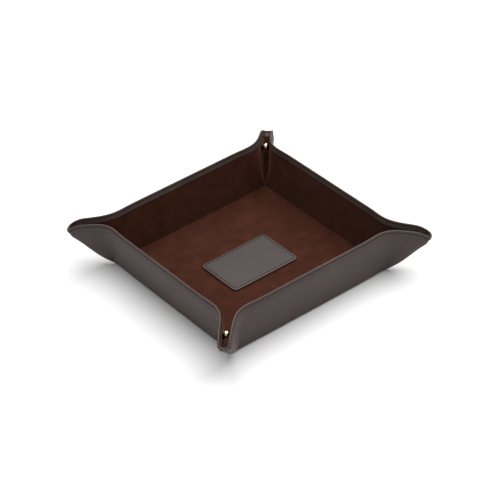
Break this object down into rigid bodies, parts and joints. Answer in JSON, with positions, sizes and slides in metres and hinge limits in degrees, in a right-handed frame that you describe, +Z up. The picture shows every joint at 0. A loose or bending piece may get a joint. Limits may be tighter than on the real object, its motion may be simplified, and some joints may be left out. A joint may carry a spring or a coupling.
{
  "type": "leather valet tray",
  "caption": "Square stitched leather tray with a suede lining, walls that fold flat, pinched corners held by snaps and a stitched patch on its floor.",
  "frame": {"origin": "centre of the base's underside, on the surface that the tray stands on", "axes": "+Z up out of the tray, X and Y along the base's sides; the patch's long side is along Y"},
  "size_m": [0.25, 0.25, 0.0513],
  "materials": {
    "leather": "smooth dark brown leather, satin",
    "patch": "smooth dark brown leather patch, satin",
    "lining": "dark reddish brown suede, matte",
    "board": "grey-brown pressed fibre board",
    "brass": "polished pale brass"
  },
  "bodies": {
    "base": {"base_leather": "leather", "base_board": "board", "base_lining": "lining", "floor_patch": "patch"},
    "wall_front": {"wall_front_leather": "leather", "wall_front_board": "board", "wall_front_lining": "lining"},
    "gusset_front_right": {"gusset_front_right_leather": "leather", "gusset_front_right_lining": "lining", "snap_front_right_socket": "brass", "snap_front_right_socket_rivet": "brass"},
    "tip_front_right": {"tip_front_right": "leather"},
    "gusset_front_left": {"gusset_front_left_leather": "leather", "gusset_front_left_lining": "lining", "snap_left_front_stud": "brass", "snap_left_front_stud_rivet": "brass"},
    "tip_front_left": {"tip_front_left": "leather"},
    "wall_right": {"wall_right_leather": "leather", "wall_right_board": "board", "wall_right_lining": "lining"},
    "gusset_right_back": {"gusset_right_back_leather": "leather", "gusset_right_back_lining": "lining", "snap_right_back_socket": "brass", "snap_right_back_socket_rivet": "brass"},
    "tip_right_back": {"tip_right_back": "leather"},
    "gusset_right_front": {"gusset_right_front_leather": "leather", "gusset_right_front_lining": "lining", "snap_front_right_stud": "brass", "snap_front_right_stud_rivet": "brass"},
    "tip_right_front": {"tip_right_front": "leather"},
    "wall_back": {"wall_back_leather": "leather", "wall_back_board": "board", "wall_back_lining": "lining"},
    "gusset_back_left": {"gusset_back_left_leather": "leather", "gusset_back_left_lining": "lining", "snap_back_left_socket": "brass", "snap_back_left_socket_rivet": "brass"},
    "tip_back_left": {"tip_back_left": "leather"},
    "gusset_back_right": {"gusset_back_right_leather": "leather", "gusset_back_right_lining": "lining", "snap_right_back_stud": "brass", "snap_right_back_stud_rivet": "brass"},
    "tip_back_right": {"tip_back_right": "leather"},
    "wall_left": {"wall_left_leather": "leather", "wall_left_board": "board", "wall_left_lining": "lining"},
    "gusset_left_front": {"gusset_left_front_leather": "leather", "gusset_left_front_lining": "lining", "snap_left_front_socket": "brass", "snap_left_front_socket_rivet": "brass"},
    "tip_left_front": {"tip_left_front": "leather"},
    "gusset_left_back": {"gusset_left_back_leather": "leather", "gusset_left_back_lining": "lining", "snap_back_left_stud": "brass", "snap_back_left_stud_rivet": "brass"},
    "tip_left_back": {"tip_left_back": "leather"}
  },
  "joints": [
    {"name": "fold_front", "type": "hinge", "parent": "base", "child": "wall_front", "pos_m": [0, -0.09, 0.0033], "axis": [1, 0, 0], "range_deg": [0, 80]},
    {"name": "bend_front_right", "type": "hinge", "parent": "wall_front", "child": "gusset_front_right", "pos_m": [0.09, -0.09, 0.0033], "axis": [0, -0.1736, 0.9848], "range_deg": [0, 43.52]},
    {"name": "turn_front_right", "type": "hinge", "parent": "gusset_front_right", "child": "tip_front_right", "pos_m": [0.09, -0.09, 0.0033], "axis": [-0.4663, 0.5688, -0.6776], "range_deg": [0, 50.16]},
    {"name": "bend_front_left", "type": "hinge", "parent": "wall_front", "child": "gusset_front_left", "pos_m": [-0.09, -0.09, 0.0033], "axis": [0, 0.1736, -0.9848], "range_deg": [0, 43.52]},
    {"name": "turn_front_left", "type": "hinge", "parent": "gusset_front_left", "child": "tip_front_left", "pos_m": [-0.09, -0.09, 0.0033], "axis": [-0.4663, -0.5688, 0.6776], "range_deg": [0, 50.16]},
    {"name": "fold_right", "type": "hinge", "parent": "base", "child": "wall_right", "pos_m": [0.09, 0, 0.0033], "axis": [0, 1, 0], "range_deg": [0, 80.02]},
    {"name": "bend_right_back", "type": "hinge", "parent": "wall_right", "child": "gusset_right_back", "pos_m": [0.09, 0.09, 0.0033], "axis": [0.1736, 0, 0.9848], "range_deg": [0, 43.52]},
    {"name": "turn_right_back", "type": "hinge", "parent": "gusset_right_back", "child": "tip_right_back", "pos_m": [0.09, 0.09, 0.0033], "axis": [-0.5688, -0.4663, -0.6776], "range_deg": [0, 50.16]},
    {"name": "bend_right_front", "type": "hinge", "parent": "wall_right", "child": "gusset_right_front", "pos_m": [0.09, -0.09, 0.0033], "axis": [-0.1736, 0, -0.9848], "range_deg": [0, 43.52]},
    {"name": "turn_right_front", "type": "hinge", "parent": "gusset_right_front", "child": "tip_right_front", "pos_m": [0.09, -0.09, 0.0033], "axis": [0.5688, -0.4663, 0.6776], "range_deg": [0, 50.16]},
    {"name": "fold_back", "type": "hinge", "parent": "base", "child": "wall_back", "pos_m": [0, 0.09, 0.0033], "axis": [-1, 0, 0], "range_deg": [0, 80.02]},
    {"name": "bend_back_left", "type": "hinge", "parent": "wall_back", "child": "gusset_back_left", "pos_m": [-0.09, 0.09, 0.0033], "axis": [0, 0.1736, 0.9848], "range_deg": [0, 43.52]},
    {"name": "turn_back_left", "type": "hinge", "parent": "gusset_back_left", "child": "tip_back_left", "pos_m": [-0.09, 0.09, 0.0033], "axis": [0.4663, -0.5688, -0.6776], "range_deg": [0, 50.16]},
    {"name": "bend_back_right", "type": "hinge", "parent": "wall_back", "child": "gusset_back_right", "pos_m": [0.09, 0.09, 0.0033], "axis": [0, -0.1736, -0.9848], "range_deg": [0, 43.52]},
    {"name": "turn_back_right", "type": "hinge", "parent": "gusset_back_right", "child": "tip_back_right", "pos_m": [0.09, 0.09, 0.0033], "axis": [0.4663, 0.5688, 0.6776], "range_deg": [0, 50.16]},
    {"name": "fold_left", "type": "hinge", "parent": "base", "child": "wall_left", "pos_m": [-0.09, 0, 0.0033], "axis": [0, -1, 0], "range_deg": [0, 80.02]},
    {"name": "bend_left_front", "type": "hinge", "parent": "wall_left", "child": "gusset_left_front", "pos_m": [-0.09, -0.09, 0.0033], "axis": [-0.1736, 0, 0.9848], "range_deg": [0, 43.52]},
    {"name": "turn_left_front", "type": "hinge", "parent": "gusset_left_front", "child": "tip_left_front", "pos_m": [-0.09, -0.09, 0.0033], "axis": [0.5688, 0.4663, -0.6776], "range_deg": [0, 50.16]},
    {"name": "bend_left_back", "type": "hinge", "parent": "wall_left", "child": "gusset_left_back", "pos_m": [-0.09, 0.09, 0.0033], "axis": [0.1736, 0, -0.9848], "range_deg": [0, 43.52]},
    {"name": "turn_left_back", "type": "hinge", "parent": "gusset_left_back", "child": "tip_left_back", "pos_m": [-0.09, 0.09, 0.0033], "axis": [-0.5688, 0.4663, 0.6776], "range_deg": [0, 50.16]}
  ],
  "couplings": [
    {"joint": "bend_front_right", "follows": "fold_front", "ratio": 0.54375},
    {"joint": "turn_front_right", "follows": "fold_front", "ratio": 0.62679},
    {"joint": "bend_front_left", "follows": "fold_front", "ratio": 0.54375},
    {"joint": "turn_front_left", "follows": "fold_front", "ratio": 0.62679},
    {"joint": "fold_right", "follows": "fold_front", "ratio": 1},
    {"joint": "bend_right_back", "follows": "fold_front", "ratio": 0.54375},
    {"joint": "turn_right_back", "follows": "fold_front", "ratio": 0.62679},
    {"joint": "bend_right_front", "follows": "fold_front", "ratio": 0.54375},
    {"joint": "turn_right_front", "follows": "fold_front", "ratio": 0.62679},
    {"joint": "fold_back", "follows": "fold_front", "ratio": 1},
    {"joint": "bend_back_left", "follows": "fold_front", "ratio": 0.54375},
    {"joint": "turn_back_left", "follows": "fold_front", "ratio": 0.62679},
    {"joint": "bend_back_right", "follows": "fold_front", "ratio": 0.54375},
    {"joint": "turn_back_right", "follows": "fold_front", "ratio": 0.62679},
    {"joint": "fold_left", "follows": "fold_front", "ratio": 1},
    {"joint": "bend_left_front", "follows": "fold_front", "ratio": 0.54375},
    {"joint": "turn_left_front", "follows": "fold_front", "ratio": 0.62679},
    {"joint": "bend_left_back", "follows": "fold_front", "ratio": 0.54375},
    {"joint": "turn_left_back", "follows": "fold_front", "ratio": 0.62679}
  ]
}
